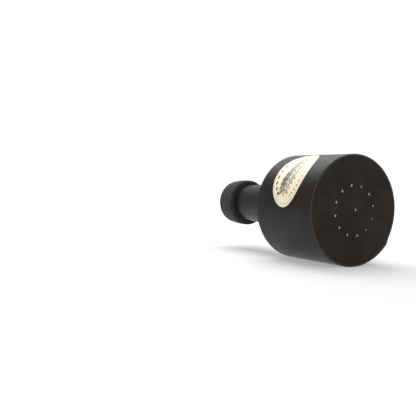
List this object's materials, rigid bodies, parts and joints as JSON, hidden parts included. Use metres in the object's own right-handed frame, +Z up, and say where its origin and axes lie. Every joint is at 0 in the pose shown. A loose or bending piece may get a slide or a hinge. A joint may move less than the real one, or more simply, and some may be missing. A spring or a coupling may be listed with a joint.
{
  "type": "trumpet practice mute",
  "caption": "Straight black fibre practice mute for a trumpet, with a vented end plate, tapered neck and soft seal ring.",
  "frame": {"origin": "on the ground below the mute's axis, under the middle of its length, the mute lying on its side", "axes": "+Y along the mute's axis from the end plate to the mouth of the neck, +Z up, +X across"},
  "size_m": [0.0786, 0.152, 0.0779],
  "materials": {
    "black_fibre": "black satin lacquer over rolled hard fibre sheet",
    "moulded_fibre": "black satin lacquer over moulded hard fibre",
    "black_painted_wood": "matt black paint over thin plywood, bare where drilled",
    "raw_wood": "bare cut plywood",
    "grey_felt": "pressed wool felt",
    "cellular_rubber": "black closed-cell rubber with a fine open skin",
    "cream_paper": "glossy cream printed label"
  },
  "bodies": {
    "root": {"can_shell": "black_fibre", "end_plate": "black_painted_wood", "front_backing_ring": "raw_wood", "rear_backing_ring": "raw_wood", "felt_pad": "grey_felt", "felt_lining": "grey_felt", "shoulder": "moulded_fibre", "neck_tube": "black_fibre", "neck_collar": "black_painted_wood", "seal_ring": "cellular_rubber", "label": "cream_paper"}
  },
  "joints": []
}
